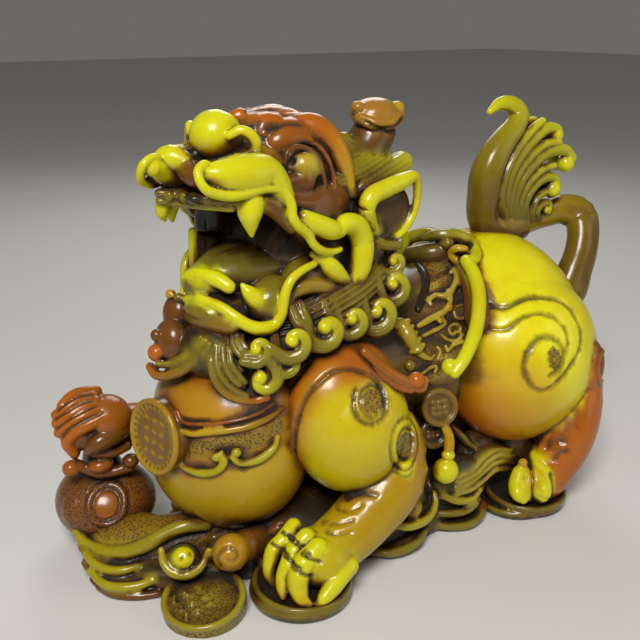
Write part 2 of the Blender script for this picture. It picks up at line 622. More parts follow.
head_forms = [
    head_swell((-4, 0, 105), (20, 17, 18), umber),
    head_swell((16, 0, 117), (19, 13.5, 8), (0.30, 0.19, 0.012), other=umber, way=(-1, 0, -0.6)),
    head_swell((4, 0, 92), (17, 18, 16), soot),
    head_roll([[4, 0, 84, 15], [18, 0, 80, 13], [31, 0, 79.6, 10]], olive, flat=0.5),
    head_swell((29.8, 0, 125.9), (7.2, 6.8, 6.6), lemon, other=amber, way=(0, 0, -1)),
    head_roll([[22, -2, 128.6, 2.2], [20, 0, 130, 2.2]], amber),
    head_roll([[19, -14, 106, 4], [18, -14.5, 96, 5], [19, -15, 84, 5]], soot),
    head_roll([[28, -12, 98, 1.3], [28, -12, 93, 1.4], [28, -12, 88, 1.4]], lemon),
    head_roll([
        [4, 2, 86, 13], [16, 0.5, 87.4, 11.4], [27, -1.6, 87.6, 9.4], [32.5, -3, 86.4, 7],
    ], (0.13, 0.105, 0.012), flat=0.76),
    head_roll([[38, 0, 110.4, 3.2], [30, 0, 109, 6], [16, 0, 107.5, 8]], soot, flat=0.5),
    head_swell((22, 12, 81), (9, 7, 7), olive),
    head_roll([[19, 0, 124, 7], [9, 2, 125, 7], [2, 4, 122, 8]], burnt),
]
# the flesh under the brows, the cheeks and the lips
head_forms += both_swell((9.5, 8, 122.4), (10.5, 7, 7), burnt)
head_forms += both_swell((8, 11.5, 115.6), (11, 6.4, 9), umber)
head_forms += both_swell((6, 16.6, 104), (12.6, 6, 9), umber, other=(0.22, 0.15, 0.010))
head_forms += both_swell((10, 15.4, 86), (11, 6, 6.4), olive)
head_forms += both_swell((33.6, 11.4, 117.6), (8.6, 4.6, 4.8), lemon)
# nostril wings
head_forms += both([
    [32, 7, 126.3, 1.3], [30, 9, 127.6, 1.4], [28.2, 11, 126.3, 1.5], [27.6, 12, 123.6, 1.5],
    [28.7, 11, 121.5, 1.4], [31.8, 9, 121.4, 1.2],
], lemon)
# upper lips: a fat lobe, and under it a thin rolled rim that runs back as a ribbon to the corner of the mouth
head_forms += both([
    [43.4, 9.6, 118.2, 2.6], [40.6, 10.6, 117.8, 3.9], [36.6, 11.6, 117.2, 4.9], [31.9, 13, 117.1, 5.4],
    [27.3, 14.2, 116.6, 5.1], [25, 16, 114, 4.1], [23.5, 17.4, 110.9, 3],
], lemon)
head_forms += both([
    [40.6, 9, 119.4, 0.8], [43.7, 9, 120.9, 1.1], [46.6, 9.6, 119.4, 1.2], [47, 10.6, 117.2, 1.2],
    [45.9, 11.8, 115, 1.3], [42.5, 13, 113.5, 1.4], [39.2, 14.4, 112.9, 1.4], [35.1, 15.6, 113.2, 1.4],
    [30.9, 16.8, 113.8, 1.4], [27.1, 18, 113.4, 1.4], [24.7, 19, 111.8, 1.5], [23.7, 20, 108.9, 1.5],
    [23.7, 20.5, 105.8, 1.4], [22, 21, 103, 1.4], [18.6, 21.5, 100.3, 1.4], [17, 22, 97.6, 1.3],
    [14.4, 22.5, 95.3, 1.3], [10.2, 23, 94, 1.2], [7.5, 24, 94.3, 1],
], lemon)
# the far lip's own bulge in front, gum, teeth and fangs
head_forms += [
    head_roll([
        [39, -12, 118, 2.4], [38.6, -10.5, 119.4, 3.3], [37.8, -8.5, 120, 3.6], [36.4, -5.5, 119, 3],
    ], lemon),
    head_roll([[36.4, -4, 117, 3.2], [38, 0, 116.2, 3], [38.4, 5, 116.6, 2.6]], umber),
    head_roll([
        [40.6, -11, 110.9, 1.3], [37.7, -8, 110.5, 1.6], [36, -3, 110.2, 1.8], [35.4, 3, 110.2, 1.8],
        [34.4, 10, 110.6, 1.8],
    ], stippled_olive),
    head_roll([
        [40.8, -11, 108.7, 0.9], [38, -8, 108.1, 0.9], [36.2, -3, 107.9, 0.9], [35.6, 3, 108, 0.9],
        [34.6, 9.5, 108.3, 0.9],
    ], olive, tip=lemon),
]
for forward, left in ((39.6, -8.4), (38, -4.6), (37.4, -0.8), (37, 3), (36.6, 6.8)):
    head_forms.append(head_swell((forward, left, 110.2), (1.2, 1.4, 1.6), olive))
upper_fang = [
    [32.6, 14, 109.9, 3.7], [33.4, 14.4, 107.4, 3.3], [33.4, 14.5, 104.6, 2.1], [33.1, 14.5, 101.8, 0.7],
]
head_forms += both(upper_fang, lemon, facing=(1, 0, 0))
head_forms += both([
    [29.1, 14.6, 110, 2.7], [26.2, 15.8, 108.3, 2.8], [24, 17, 105.5, 2.2], [21.2, 18, 102, 1.7],
], umber)
head_forms += [
    head_roll([[38.8, -12, 108, 2], [38.6, -12.5, 105, 1.7], [37.8, -12.5, 103.2, 0.8]], lemon),
    head_roll([
        [36.4, -7, 87.1, 1.7], [36.4, -4, 88.8, 1.8], [35.9, 0, 89, 2.1], [34.8, 4, 88.1, 2.2],
        [34.2, 7, 86.8, 1.9],
    ], lemon),
]
head_forms += both([
    [32.2, 10, 87.3, 0.8], [31.3, 11, 85.5, 2], [29.3, 12, 83, 2.8], [27.7, 13, 81.6, 2.2],
], lemon)
# lower lip: a rolled ribbon that rises to the corner of the mouth, and the chin under it
head_forms += both([
    [38.3, 0, 82.9, 1.4], [37.3, 3, 82.5, 1.5], [36.5, 6.5, 81.3, 1.6], [35.6, 10, 79.3, 1.7],
    [33.5, 13, 76.9, 1.9], [31, 15.5, 75.8, 2.1], [27.6, 17, 76.5, 1.9], [26.1, 18, 79.1, 1.7],
    [25.5, 18.5, 82.4, 1.5], [24.8, 19, 85.9, 1.4], [22.9, 19.5, 88.6, 1.3], [19.2, 20, 90.2, 1.2],
    [14.6, 20.5, 91, 1.1],
], lemon)
head_forms += [
    head_roll([
        [35.4, 8, 77, 3.4], [36.2, 4, 76.8, 3.8], [36.8, 0, 76.8, 3.4], [36.4, -5, 77, 3],
    ], (0.22, 0.14, 0.010), tip=umber),
    head_roll([
        [37.6, -9, 81.6, 1.4], [36.2, -8.6, 78, 2], [36.6, -9.4, 73.7, 2.4], [38.7, -10, 70.1, 1.5],
    ], olive, tip=lemon),
    head_swell((37.6, -12, 82), (1.5, 1.5, 1.5), gold),
    head_swell((38, -12, 77.4), (2.1, 2.1, 2.1), umber),
]
# brows in two lobes, eyeballs and their lids
head_forms += both_swell((14.4, 5.2, 125.4), (6.8, 5, 5.6), burnt, other=amber, way=(0, -0.5, 1))
head_forms += both([
    [19.6, 6, 123, 2.6], [15.4, 9.4, 121.8, 2.7], [11.4, 12.4, 122.6, 2.4], [9, 14, 122.4, 2.2],
], burnt)
head_forms += both([
    [8.4, 7.4, 127.1, 3.2], [6.2, 9.2, 126.6, 3.7], [3.3, 12, 125.8, 4.1], [1, 15, 123.2, 3.7],
    [-0.3, 17.5, 119.6, 3.1], [-1.6, 19, 114.7, 2.6], [-2.2, 20, 110.3, 2], [-3, 21, 107.2, 1.6],
    [-4.8, 21.5, 108.4, 1.1],
], amber, tip=lemon)
head_forms += [
    head_roll([[6, -6, 127, 4], [6, 0, 127.6, 4.4], [6, 6, 127, 4]], burnt),
    head_swell((0, 0, 120), (13, 13, 8), umber),
    head_roll([[1, 4, 127, 2], [-2, 8, 126, 2.2], [-4, 12, 123, 2]], amber),
]
head_forms += both_swell(
    (12.2, 15.5, 116.8), (5, 4.5, 4.8), (0.42, 0.33, 0.02), other=olive, way=(-0.5, 0, -1),
)
head_forms += both([
    [20.3, 15, 118.5, 0.6], [19.4, 15.5, 121.4, 0.7], [16.3, 16, 122.5, 0.8], [12.9, 17.4, 121.7, 0.8],
    [10.3, 18.6, 119.1, 0.8], [9.5, 19.4, 115.7, 0.8], [8.8, 20, 111.9, 0.7],
], umber)
head_forms += both([
    [12.9, 15.4, 123.5, 0.6], [8.8, 17, 122.3, 0.7], [6.3, 18.6, 118.9, 0.7], [5.1, 19.6, 114.6, 0.7],
    [4.9, 20.2, 110.8, 0.8],
], burnt)
head_forms += both([
    [19.8, 16.6, 111.1, 0.8], [16.9, 17.8, 110.2, 0.8], [12.1, 19, 110, 0.8], [9.2, 19.8, 110.9, 0.7],
], umber)
head_forms += both([
    [19.6, 17.4, 108.6, 1.6], [15.6, 18.6, 107.6, 1.8], [9.9, 19.6, 107.4, 1.8], [5, 20, 107.8, 1.6],
], umber)
head_forms += both([[14, 16.6, 113.4, 3.4], [18, 14.6, 112.8, 2.6]], umber)
# cheek: a roll in the shape of a C with a leaf in its mouth, and the back of the lower lip
head_forms += both([
    [18.8, 20.5, 104.7, 2.2], [15.2, 22, 102.4, 2.9], [11, 23.5, 100.4, 2.9], [8.6, 24, 99.8, 2.4],
    [6.4, 24.5, 101.2, 2.8], [1.4, 25, 99.8, 3.4], [-1, 25.6, 95.4, 3.4], [-0.6, 26, 91, 3.3],
    [0.4, 25.6, 86.8, 3.1], [1.8, 24.6, 83.5, 2.8], [4.4, 23.6, 81.6, 2.2],
], lemon)
head_forms += both([
    [13.4, 19.6, 93.4, 1.4], [11.7, 21, 92, 2.1], [9.6, 22.5, 89.3, 2.8], [6.2, 23.8, 85.8, 2.2],
    [2.9, 24.8, 82.4, 0.9],
], lemon)
head_forms += both([
    [20.3, 16.4, 82.5, 2], [18.2, 18, 84.6, 2.5], [13.9, 19.4, 84.9, 2.8], [8.6, 21, 82.7, 2.9],
    [3.3, 22, 80.3, 2.2],
], (0.30, 0.22, 0.012))
# ears: a bright rolled edge round a brown hollow
head_forms += both_swell((-12.2, 25.4, 101.6), (10, 2.0, 9), (0.07, 0.038, 0.008), turn=(0, 0, 3.5))
head_forms += both_swell((-9, 25, 95), (5, 2.4, 5), soot, turn=(0, 0, 6))
head_forms += both([
    [-8, 25, 97, 1.6], [-4.6, 25.5, 100.8, 2.2], [-2.4, 26, 104.6, 2.6], [-4, 26.5, 107.4, 2.7],
    [-9.4, 27.5, 108.9, 2.7], [-15.4, 29, 110.2, 2.5], [-20.3, 30.4, 111.1, 1.7], [-22.4, 30.4, 106.1, 1.3],
    [-21.9, 29.5, 100.1, 1.3], [-17.9, 28.5, 95.4, 1.3], [-11.5, 27, 92.4, 1.3],
], lemon)
# hair tufts behind the brow, shorter on the far side
for tuft in (
    [[0, 17, 111, 3.6], [-6.4, 18, 112.2, 3.9], [-15.9, 17, 113.7, 3.9], [-24, 16, 115, 3.6]],
    [[-7.6, 20, 108.3, 3.9], [-21.9, 18, 110.1, 4.1], [-36, 16, 111.7, 3.9]],
    [[0, -17, 111, 3.6], [-8, -18, 112.4, 3.9], [-15, -17, 113.4, 3.2], [-21, -16, 112, 1.8]],
    [[-4, -20, 106, 3.8], [-13, -19, 107.4, 3.8], [-21, -17, 107.6, 2.9], [-26, -16, 105, 1.6]],
):
    head_forms.append(head_roll(tuft, olive, strands=16, relief=0.14, tip=lemon))
# hair combed down the back of the skull, and the short horn with its cap
tan = (0.34, 0.17, 0.018)
for left in (-12, -6, 0, 6, 12):
    comb_back = [
        [-12, 0.9 * left, 120, 3.4], [-20, left, 112, 4], [-22, left, 102, 4], [-20, 1.1 * left, 93, 3],
    ]
    head_forms.append(head_roll(comb_back, olive, strands=12, relief=0.16))
head_forms += [
    head_roll([[-4, 6, 122, 2.4], [-10, 6, 121, 2.2]], burnt),
    roll([[4, -4, 112, 8], [12, -5, 116.6, 7.2], [16, -5, 122, 6.6]], (0.10, 0.045, 0.008)),
    swell((16.2, -5, 127.6), (7.8, 7, 4.9), tan, other=umber, way=(0, 0, -1)),
    roll([
        [9.4, -7, 127, 1.9], [12, -10.4, 125.6, 1.9], [17.6, -11.4, 125.8, 1.9], [22.6, -8.6, 127.4, 1.8],
        [23.6, -5, 128.6, 1.4],
    ], tan),
    swell((9.2, -6, 130), (2.1, 2.1, 1.9), tan),
    swell((22, -8.2, 129.4), (2.4, 2.2, 2), gold),
]
head = fuse("head", head_forms, grain=0.34, most_triangles=192_000, softening=2)
cap_mouth = [(9, -10, 126.4), (12, -12, 124.4), (17.6, -13, 124.4), (22.6, -10, 126)]
engrave(head, cap_mouth, 0.5, 0.7, toward, dirt=0.9)
eye_edge, pupil_black = (0.62, 0.58, 0.28), (0.003, 0.002, 0.002)
for side in (1, -1):
    pupil = [in_head((16.6, 15 * side, 118.8)), in_head((16.6, 15.1 * side, 118.8))]
    engrave(head, pupil, 1.9, 0, tint=eye_edge, sharp=6)
    engrave(head, pupil, 1.2, 0.5, tint=pupil_black, dirt=0.9, sharp=6)
    nostril = [in_head((31, 8.6 * side, 124)), in_head((30.6, 8.6 * side, 123))]
    engrave(head, nostril, 1.6, 0.8, dirt=0.7)
    rim_groove = ((40, 13.4, 115), (35.6, 15.4, 114.9), (31, 16.6, 115.4), (27.4, 17.6, 115))
    engrave(head, [in_head((f, l * side, u)) for f, l, u in rim_groove], 0.4, 0.25, dirt=0.15)
    lip_spiral = ((44, 11.4, 118), (44.6, 11, 118.9), (43.6, 10.6, 119.3), (42, 11.6, 118.6))
    engrave(head, [in_head((f, l * side, u)) for f, l, u in lip_spiral], 0.7, 0.5, dirt=0.5)
    for k in range(6):
        ear_fold = ((-6 - 2.6 * k, 28, 94 + k), (-5 - 2.6 * k, 28.6, 101), (-7 - 2.4 * k, 29, 108))
        engrave(head, [in_head((f, l * side, u)) for f, l, u in ear_fold], 0.5, 0.3, dirt=0.45)
# scratches along the tongue
for forward, left in ((28, 2), (24, 6), (27, -5), (18, 9), (20, 1), (14, 6), (30, -1), (12, 0), (22, -3)):
    streak = [in_head((forward, left, 96)), in_head((forward - 8, left + 4, 95))]
    engrave(head, streak, 0.8, 0.25, (0, 0, 1), dirt=0.8)
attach(head, "root")

# Mane and beard: locks of combed hair in a collar under the jaw, each ending in a fat curl round a bead,
# with dark gaps between them. The hidden side and the back of the neck have plainer curls.
def curl(middle, radius, root_turn, face=(-0.45, -1, 0.25), hand=1):
    """A comma of combed hair round a bead. The root's turn is counted from the right-hand side, upwards."""
    normal = Vector(face).normalized()
    right = Vector((0, 0, 1)).cross(normal).normalized()
    up = normal.cross(right)

    def spot(turn, reach, raised=0.0):
        angle = math.radians(root_turn + hand * turn)
        out = (right * math.cos(angle) + up * math.sin(angle)) * reach * radius
        return Vector(middle) + out + normal * raised * radius

    reaches = (1.7, 1.15, 0.86, 0.70, 0.64, 0.56, 0.42)
    widths = (0.36, 0.48, 0.47, 0.42, 0.38, 0.34, 0.34)
    stops = []
    for k, (reach, width) in enumerate(zip(reaches, widths)):
        stops.append([*spot(50 * k, reach), width * radius])
    lock = roll(stops, olive, facing=face, strands=14, relief=0.3, tip=lemon)
    return [lock, bead(spot(330, 0.25, 0.1), 0.46 * radius, lemon)]


collar = [
    ((11, -22.5, 87.2), 3, 200), ((9.8, -24.5, 80.5), 4.2, 200), ((2, -27.5, 74.6), 4.7, 200),
    ((-8.2, -29, 74.6), 3.8, 200), ((-18.3, -30.5, 74.1), 4.6, 165), ((-28.9, -31, 73), 4.1, 190),
    ((-30.6, -30, 67.2), 3.3, 165), ((-37.8, -27, 71.6), 3.2, 215),
]
moss_hair = (0.30, 0.26, 0.012)
mane_forms = []
for middle, radius, root_turn in collar:
    mane_forms += curl(middle, radius, root_turn)
mane_forms += curl((-37.1, -28, 63.4), 4.6, 125, hand=-1)
for (x, y, z), radius, root_turn in collar[:7]:
    mane_forms += curl((x, -7 - y, z), radius * 1.1, 180 - root_turn, face=(-0.45, 1, 0.25), hand=-1)
for k in range(6):
    y = -17 + 7 * k
    mane_forms += curl((13 - 0.012 * (y - 1) ** 2, y, 76 + 1.5 * (k % 2)), 4, 80, face=(1, 0.1, 0.1))
    nape = [[8, y, 94, 3.4], [12, y, 87, 3.8], [12, y, 80, 3]]
    mane_forms.append(roll(nape, olive, strands=12, relief=0.2))
mane_forms += [
    roll([
        [-31, -17, 71, 6], [-22, -20.4, 73, 6.4], [-8, -21, 78, 7], [5, -17, 82, 7],
    ], olive, strands=26, relief=0.2),
    roll([[-36, -20, 66, 6], [-24, -20, 68, 7], [-8, -17, 71, 8], [8, -12, 77, 8]], soot),
    roll([[-26, 8, 72, 9], [-10, 9, 78, 9], [6, 5, 82, 8]], soot, strands=20, relief=0.12),
    swell((-43, -11, 68), (10, 11, 9), soot),
    swell((-52, -4, 69.6), (5, 6, 6.6), umber),
    swell((-48.4, -1, 76), (4.4, 5, 6), umber),
    swell((6, -15, 92), (6, 7, 9), soot),
    roll([[4, -20, 95, 2], [8, -22, 92.6, 1.6], [12, -23, 92, 1.3]], olive, strands=8),
]
# combed hair between the jaw and the curls
for x, y, z, u, v, w in (
    (-26, -24, 80, -23, -29, 72), (-23, -24, 80.6, -20, -29, 71), (-16, -25, 80, -13.5, -28.6, 72.4),
    (-13, -25, 80.4, -11, -28, 72), (-6, -25, 80, -4, -27.6, 72), (-3, -25, 80.6, -1, -27, 71.4),
    (-31.6, -24.6, 73, -33, -28.6, 69), (4, -23, 83, 6, -25, 77),
):
    bulge = [(x + u) / 2 - 0.6, (y + v) / 2 - 1, (z + w) / 2 - 1, 1.6]
    mane_forms.append(roll([[x, y, z, 1.5], bulge, [u, v, w, 1.3]], olive, strands=8, relief=0.3))
# beard: combed locks that hang over the chest, rimmed in amber at the front
mane_forms += [
    roll([
        [-48.2, -19, 72.6, 1], [-48.9, -18, 70.6, 1.2], [-51, -15.5, 67.5, 1.4], [-53.6, -12.5, 64.3, 1.5],
        [-56.4, -9, 62.2, 1.4], [-58.1, -5, 61.6, 1.4], [-58.3, -2, 62.9, 1.3],
    ], olive, tip=amber),
    roll([
        [-48.4, -18, 72.7, 0.7], [-50.4, -16, 70.2, 0.8], [-53, -13, 67.3, 0.8], [-55.7, -9, 65, 0.8],
        [-57.3, -4.5, 63.8, 0.7],
    ], olive, tip=umber),
    roll([
        [-49.5, -16.5, 74, 0.7], [-50.6, -14.5, 71.3, 0.8], [-52.9, -11.5, 68, 0.8], [-55.8, -7, 65, 0.7],
    ], olive, tip=umber),
    roll([[-47.6, -13, 73, 1.6], [-50.4, -10, 69, 1.8], [-52.8, -6, 67, 1.6]], soot),
    roll([
        [-48.6, -17.6, 73.4, 0.6], [-51.6, -14.4, 69.6, 0.7], [-54.6, -10.6, 66, 0.7],
        [-57.6, -5.4, 64.8, 0.6],
    ], moss_hair),
    bead((-57, -4, 67.4), 2.5, amber),
    bead((-56.6, -4, 72.4), 1.8, umber),
    roll([
        [-47.3, -18.5, 71.8, 0.7], [-48.7, -20, 67.7, 0.9], [-48.4, -22, 63.3, 1.1], [-46, -24, 59.4, 1.2],
        [-42.2, -26, 57.4, 1.3], [-39.1, -27, 57, 1.4], [-36.4, -28, 57.8, 1.5],
    ], olive, tip=amber),
    roll([
        [-46.3, -19.5, 72.1, 0.7], [-47.6, -21.5, 67.9, 0.8], [-47.2, -23.5, 64.5, 0.8],
        [-44.8, -25, 61, 0.8], [-41.4, -26.5, 59.1, 0.8],
    ], olive),
    roll([
        [-45.1, -20.5, 72, 0.7], [-46.1, -23, 68.1, 0.8], [-45.1, -24.5, 64.6, 0.8], [-43.4, -26, 62.3, 0.8],
    ], olive),
    roll([
        [-43.5, -21, 71.3, 0.7], [-44.1, -23.5, 67.8, 0.8], [-43.1, -25, 65, 0.8], [-41.4, -26, 62.6, 0.7],
    ], olive),
    roll([[-42.4, -20.4, 71, 0.7], [-42.8, -23, 68, 0.7], [-41.8, -25, 66, 0.7]], olive),
    roll([[-44, -18, 69, 3], [-44.4, -21, 65, 3], [-42, -23.6, 62, 2.6]], soot),
    roll([
        [-41.2, -19, 75.4, 0.7], [-42.5, -21.5, 72.4, 0.8], [-42, -24, 70, 0.9], [-40.2, -26, 68.5, 0.9],
        [-37.8, -27, 68.8, 1],
    ], olive),
    roll([
        [-40, -19.5, 75.3, 0.7], [-41.1, -22, 72.6, 0.8], [-40.6, -24.5, 70.5, 0.8], [-38.8, -26, 69.9, 0.7],
    ], olive),
    roll([[-38.6, -20, 74.5, 0.7], [-40.1, -22.5, 72.8, 0.7], [-39.6, -24.5, 71.2, 0.7]], olive),
]
mane = fuse("mane", mane_forms, grain=0.29, most_triangles=175_000, softening=1)
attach(mane, "root")

# Harness: a round medallion on a pebbled strap across the chest, a saddle cloth in low relief with a
# bead-ended bar, an amber bar over the shoulder, two side coins and a small bell, all cast with the beast.
def coin(at, facing, radius, thickness, tint, rim, strokes=4, ticks=0):
    """A coin with a raised rim, and rows of shallow strokes where the real one has characters."""
    turn = Vector(facing).to_track_quat("Z", "Y").to_euler()
    axis = Vector(facing).normalized()
    middle = Vector(at)
    # the disc is an egg stretched to three times its height and then cut flat, so that its faces have a tint
    disc = swell(middle - axis * thickness / 2, (radius * 0.99, radius * 0.99, thickness / 2), tint)
    disc.rotation_euler = turn
    put_spots(disc.data, read_spots(disc.data) * (1, 1, 3))
    put_spots(disc.data, np.clip(read_spots(disc.data), -1, 1))
    bpy.ops.mesh.primitive_torus_add(
        major_segments=64, minor_segments=12, major_radius=radius - 0.8, minor_radius=0.95
    )
    edge = tinted(bpy.context.object, rim)
    edge.rotation_euler = turn
    edge.location = middle - axis * 0.1
    forms = [disc, edge]
    down = Vector((0, 0, -1)) - axis * axis.dot(Vector((0, 0, -1)))
    down = down.normalized() if down.length > 0.2 else Vector((-1, 0, 0))
    along = axis.cross(down)
    for row in range(strokes):
        for column in (-1, 0, 1):
            lean = 0.5 if (row + column) % 2 else -0.4
            spot = middle + down * radius * (row - (strokes - 1) / 2) * 0.3 + along * column * radius * 0.32
            reach = (along + down * lean).normalized() * radius * 0.05
            forms.append(roll([[*(spot - reach), 0.5], [*(spot + reach), 0.45]], rim, facing=facing))
    for k in range(ticks):
        angle = 2 * math.pi * k / ticks
        out = (along * math.cos(angle) + down * math.sin(angle)) * radius
        tick = [[*(middle + out * 0.76), 0.42], [*(middle + out * 0.84), 0.42]]
        forms.append(roll(tick, rim, facing=facing))
    return forms


stippled_brown = (0.08, 0.05, 0.010, 1)
stippled_bark = (0.08, 0.055, 0.010, 1)
coin_rim = (0.19, 0.11, 0.014)
medallion = ((0.13, 0.055, 0.009), (0.34, 0.21, 0.010))
harness_forms = coin((-61.4, -8.6, 44.8), (-0.975, -0.2, 0.12), 10.8, 8, *medallion, ticks=28)
harness_forms += coin((17.6, -37.9, 44.6), (-0.3, -1, 0.3), 5.8, 8, stippled_brown, coin_rim, strokes=3)
harness_forms += coin((16.8, -36.6, 35.6), (-0.3, -1, 0.3), 4.6, 7, stippled_bark, olive, strokes=2)
# strap: two ribs over a pebbled band with a border of two scrolls
scroll = (0.36, 0.32, 0.008)
band = [
    [-57.5, -16.8, 45.2, 1], [-52.6, -20.4, 43.4, 1], [-46, -24.6, 45, 1], [-39, -27.6, 45.8, 1],
    [-33, -27, 47.4, 1],
]
engrave(body, [stop[:3] for stop in laid(band, body, 0)], 3, tint=stippled_gold, sharp=6)
harness_forms += [
    roll(laid([
        [-57.6, -16.6, 49.4, 1], [-53.5, -17.3, 47.5, 1.1], [-50, -20.5, 48.2, 1.1], [-45.5, -23.7, 48.8, 1],
        [-40.5, -25.9, 49.6, 1], [-34.4, -25.7, 50.3, 0.9], [-29.6, -24.6, 51.6, 0.8],
    ], body), gold, tip=umber),
    roll(laid([
        [-55.3, -12, 52.5, 0.6], [-55.3, -15.5, 50.5, 0.6], [-50.4, -19.1, 50, 0.6],
        [-44.8, -23.3, 50.9, 0.6], [-38, -24.6, 51.6, 0.6], [-31, -23.4, 53, 0.6],
    ], body), burnt, tip=umber),
    roll(laid([
        [-59.1, -17.4, 41.2, 0.9], [-55.7, -17.5, 37.4, 1], [-52.9, -21.2, 36.8, 1.2],
        [-50, -24.8, 38.6, 1.2], [-48.4, -25.6, 41.2, 1.1], [-48.8, -24.8, 43.2, 0.9],
    ], body), scroll),
    roll(laid([[-50.2, -24.2, 42.2, 1.4], [-50, -24.4, 42.2, 1.4]], body), scroll),
    roll(laid([
        [-46.4, -26.2, 42.2, 1], [-45.3, -27, 40.5, 1], [-42.7, -28.4, 40.2, 1.1], [-39, -29.3, 40.9, 1.2],
        [-34.7, -28.8, 43.1, 1], [-33.3, -28, 45.2, 0.8],
    ], body), scroll),
    roll(laid([[-45.3, -26.3, 43.3, 1.4], [-45.1, -26.4, 43.3, 1.4]], body), scroll),
]
# saddle: a crest roll and knot, a long bar with a bead end, and an amber bar over the shoulder
harness_forms += [
    roll([
        [39.1, -2.9, 86.6, 1.2], [40.6, -4.9, 87.6, 1.5], [42.8, -7.3, 88, 1.8], [45.8, -8.9, 87.8, 2.1],
        [50.2, -9.7, 86, 2.3], [56, -7.3, 83, 2.4],
    ], olive, tip=lemon, strands=6, relief=0.1),
    roll([[37, 0, 80, 3.6], [42, -5, 81.4, 3.8], [48, -7, 81, 4]], (0.15, 0.105, 0.012)),
    roll([
        [56.5, -8.1, 83.6, 2.2], [51.4, -14.3, 81.8, 2.4], [45, -19.5, 81.6, 2.2], [42, -20.7, 82, 1.8],
    ], lemon),
    roll([
        [41.9, -15.6, 81.3, 1.5], [42.2, -12.8, 82.7, 1.4], [42.1, -15.1, 84.9, 1.4],
        [43.9, -16.7, 84.8, 1.5],
    ], gold),
    roll([
        [42.4, -19.5, 82, 2], [41, -24.5, 79.4, 2.2], [38.6, -29.6, 75.4, 2.2], [35.4, -33.6, 71, 2.2],
        [32, -36.4, 66.6, 2.2], [26.8, -39.6, 62.8, 2.1], [22, -41.6, 59.4, 2], [19, -42, 56.8, 1.7],
    ], lemon),
    bead((18.9, -40, 58), 2.6, lemon),
    roll([[46, -14, 80, 4], [42, -24, 74, 4], [38, -31, 66, 4]], umber),
    roll([
        [-8, -34, 66.6, 1.6], [-3.6, -37.6, 61.4, 1.8], [2, -39.6, 57.4, 1.7], [7.7, -40.6, 54.4, 1.5],
        [8.6, -40.6, 56.4, 1.4],
    ], burnt, tip=amber),
    roll([
        [-9.4, -33, 65, 1], [-5, -37.6, 59.6, 1.2], [0.6, -39.6, 55.6, 1.1], [4, -40.4, 54.4, 0.9],
    ], burnt, tip=amber),
    bead((5.6, -40.6, 57.2), 2.5, amber),
    roll([[18.5, -39, 39, 1.3], [19, -41, 35.6, 1.5], [18.3, -42, 32.6, 1.6]], gold, strands=6),
    swell((17.9, -42.2, 30.6), (2.1, 2.1, 1.7), lemon),
    swell((17.2, -42.2, 25.6), (3.9, 3.9, 4), lemon),
]
# the far side has the same bar, shoulder bar and coins
harness_forms += [
    roll(laid([
        [43, 10, 84, 2], [41, 19, 78, 2.2], [38, 25, 72, 2.2], [34, 29, 66, 2.2], [28, 31, 60, 2.1],
        [22, 32, 55, 2],
    ], body, 0.5, right_side), lemon),
    roll(laid([[21, 32, 54, 2.4], [20, 32, 55.4, 2.4]], body, 0.5, right_side), lemon),
    roll(laid([
        [-2, 24, 70, 1.6], [3, 24, 63, 1.8], [8, 24, 58, 1.7], [13, 24, 56, 1.4],
    ], body, 0.4, right_side), burnt, tip=amber),
    roll([
        [44, -9, 85, 2.2], [45, 2, 86, 2.4], [43.5, 11, 83, 2.2],
    ], olive, tip=lemon, strands=6, relief=0.1),
]
harness_forms += coin((16.6, 20.6, 44.6), (-0.1, 1, 0.1), 5.8, 3, stippled_brown, coin_rim, strokes=3)
harness_forms += coin((16, 19, 34.6), (-0.1, 1, -0.2), 4.6, 3, stippled_bark, olive, strokes=2)
relief_gold = (0.40, 0.32, 0.03)
for x, z, start in ((33, 76, 20), (29, 68, 200), (31, 60, 80), (23, 64, 300), (25, 53, 150), (20, 73, 40)):
    hook = []
    for k in range(1, 7):
        turn = math.radians(start + 55 * k)
        hook.append((x + 0.7 * k * math.cos(turn), 24, z + 0.7 * k * math.sin(turn), 0.7))
    harness_forms.append(roll(laid(hook, body, 0.2, right_side), relief_gold))
